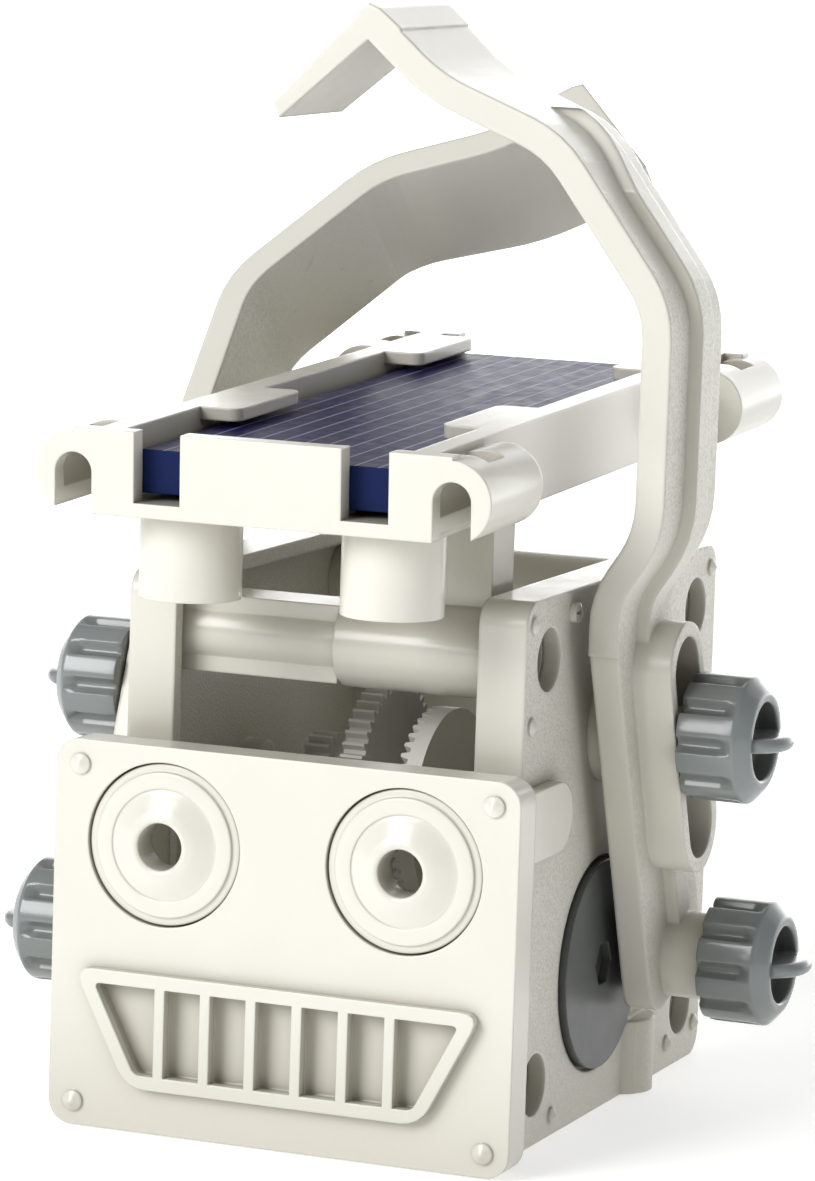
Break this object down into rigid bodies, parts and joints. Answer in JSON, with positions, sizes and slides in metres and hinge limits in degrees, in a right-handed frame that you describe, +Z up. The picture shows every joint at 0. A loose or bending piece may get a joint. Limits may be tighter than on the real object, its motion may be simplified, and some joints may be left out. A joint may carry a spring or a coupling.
{
  "type": "solar robot kit",
  "caption": "Toy robot kit with an open geared body, a round-eyed face plate, two crank-driven arms with knobs and a solar panel on its roof.",
  "frame": {"origin": "on the ground, in the middle of the kit's whole length and width", "axes": "+X to the viewer's right when the face is seen from the front, -Y the way the face looks, +Z up"},
  "size_m": [0.1008, 0.113, 0.1374],
  "materials": {
    "ivory_plastic": "glossy warm ivory moulding with fine grain on its side faces",
    "solar_cells": "deep blue cells under a clear smooth sheet",
    "white_gear_plastic": "satin white gear plastic",
    "steel": "satin",
    "dark_plastic": "satin dark grey",
    "grey_plastic": "glossy mid grey"
  },
  "bodies": {
    "body": {"left_side_shell": "ivory_plastic", "right_side_shell": "ivory_plastic", "back_plate": "ivory_plastic", "cross_tubes": "ivory_plastic", "face_plate": "ivory_plastic", "mouth_grille": "ivory_plastic", "left_eye": "ivory_plastic", "right_eye": "ivory_plastic", "panel_bracket": "ivory_plastic", "rear_panel_bracket": "ivory_plastic", "panel_frame": "ivory_plastic", "solar_panel": "solar_cells", "shell_screws": "ivory_plastic", "motor_cradle": "ivory_plastic", "motor_can": "steel", "left_pivot_pin": "ivory_plastic", "right_pivot_pin": "ivory_plastic"},
    "crank": {"drive_axle": "dark_plastic", "output_gear": "white_gear_plastic", "left_crank_disc": "dark_plastic", "right_crank_disc": "dark_plastic"},
    "spur": {"spur_gear": "white_gear_plastic", "spur_shaft": "steel"},
    "crown": {"crown_gear": "white_gear_plastic", "crown_shaft": "steel"},
    "motor_rotor": {"motor_pinion": "white_gear_plastic"},
    "right_upper_knob": {"right_upper_knob": "grey_plastic"},
    "left_upper_knob": {"left_upper_knob": "grey_plastic"},
    "right_arm": {"right_arm": "ivory_plastic", "right_crank_pin": "dark_plastic"},
    "left_arm": {"left_arm": "ivory_plastic", "left_crank_pin": "dark_plastic"},
    "right_lower_knob": {"right_lower_knob": "grey_plastic"},
    "left_lower_knob": {"left_lower_knob": "grey_plastic"}
  },
  "joints": [
    {"name": "crank_turn", "type": "hinge", "parent": "body", "child": "crank", "pos_m": [0, -0.00685, 0.019], "axis": [1, 0, 0], "range_deg": [-90, 0]},
    {"name": "spur_turn", "type": "hinge", "parent": "body", "child": "spur", "pos_m": [0, -0.00385, 0.03928], "axis": [1, 0, 0], "range_deg": [0, 320.1]},
    {"name": "crown_turn", "type": "hinge", "parent": "body", "child": "crown", "pos_m": [0, -0.01834, 0.03858], "axis": [1, 0, 0], "range_deg": [-1536.1, 0]},
    {"name": "motor_turn", "type": "hinge", "parent": "body", "child": "motor_rotor", "pos_m": [0.0051, -0.01834, 0.027], "axis": [0, 0, 1], "range_deg": [-7680.1, 0]},
    {"name": "right_arm_swing", "type": "hinge", "parent": "body", "child": "right_upper_knob", "pos_m": [0, -0.00685, 0.049], "axis": [1, 0, 0], "range_deg": [-20.14, 0]},
    {"name": "left_arm_swing", "type": "hinge", "parent": "body", "child": "left_upper_knob", "pos_m": [0, -0.00685, 0.049], "axis": [1, 0, 0], "range_deg": [0, 20.14]},
    {"name": "right_arm_slide", "type": "slide", "parent": "right_upper_knob", "child": "right_arm", "axis": [0, -0.3443, 0.9389], "range_m": [-0.00905, 0]},
    {"name": "left_arm_slide", "type": "slide", "parent": "left_upper_knob", "child": "left_arm", "axis": [0, 0.3443, 0.9389], "range_m": [0, 0.01296]},
    {"name": "right_lower_knob_turn", "type": "hinge", "parent": "right_arm", "child": "right_lower_knob", "pos_m": [0, 0.00415, 0.019], "axis": [1, 0, 0], "continuous": true},
    {"name": "left_lower_knob_turn", "type": "hinge", "parent": "left_arm", "child": "left_lower_knob", "pos_m": [0, -0.01785, 0.019], "axis": [1, 0, 0], "continuous": true}
  ],
  "couplings": [
    {"joint": "spur_turn", "follows": "crank_turn", "ratio": -3.5556},
    {"joint": "crown_turn", "follows": "crank_turn", "ratio": 17.067},
    {"joint": "motor_turn", "follows": "crank_turn", "ratio": 85.333},
    {"joint": "right_arm_swing", "follows": "crank_turn", "ratio": 0.22374},
    {"joint": "left_arm_swing", "follows": "crank_turn", "ratio": -0.22374},
    {"joint": "right_arm_slide", "follows": "crank_turn", "m_per_rad": 0.0057594},
    {"joint": "left_arm_slide", "follows": "crank_turn", "m_per_rad": -0.0082462}
  ]
}
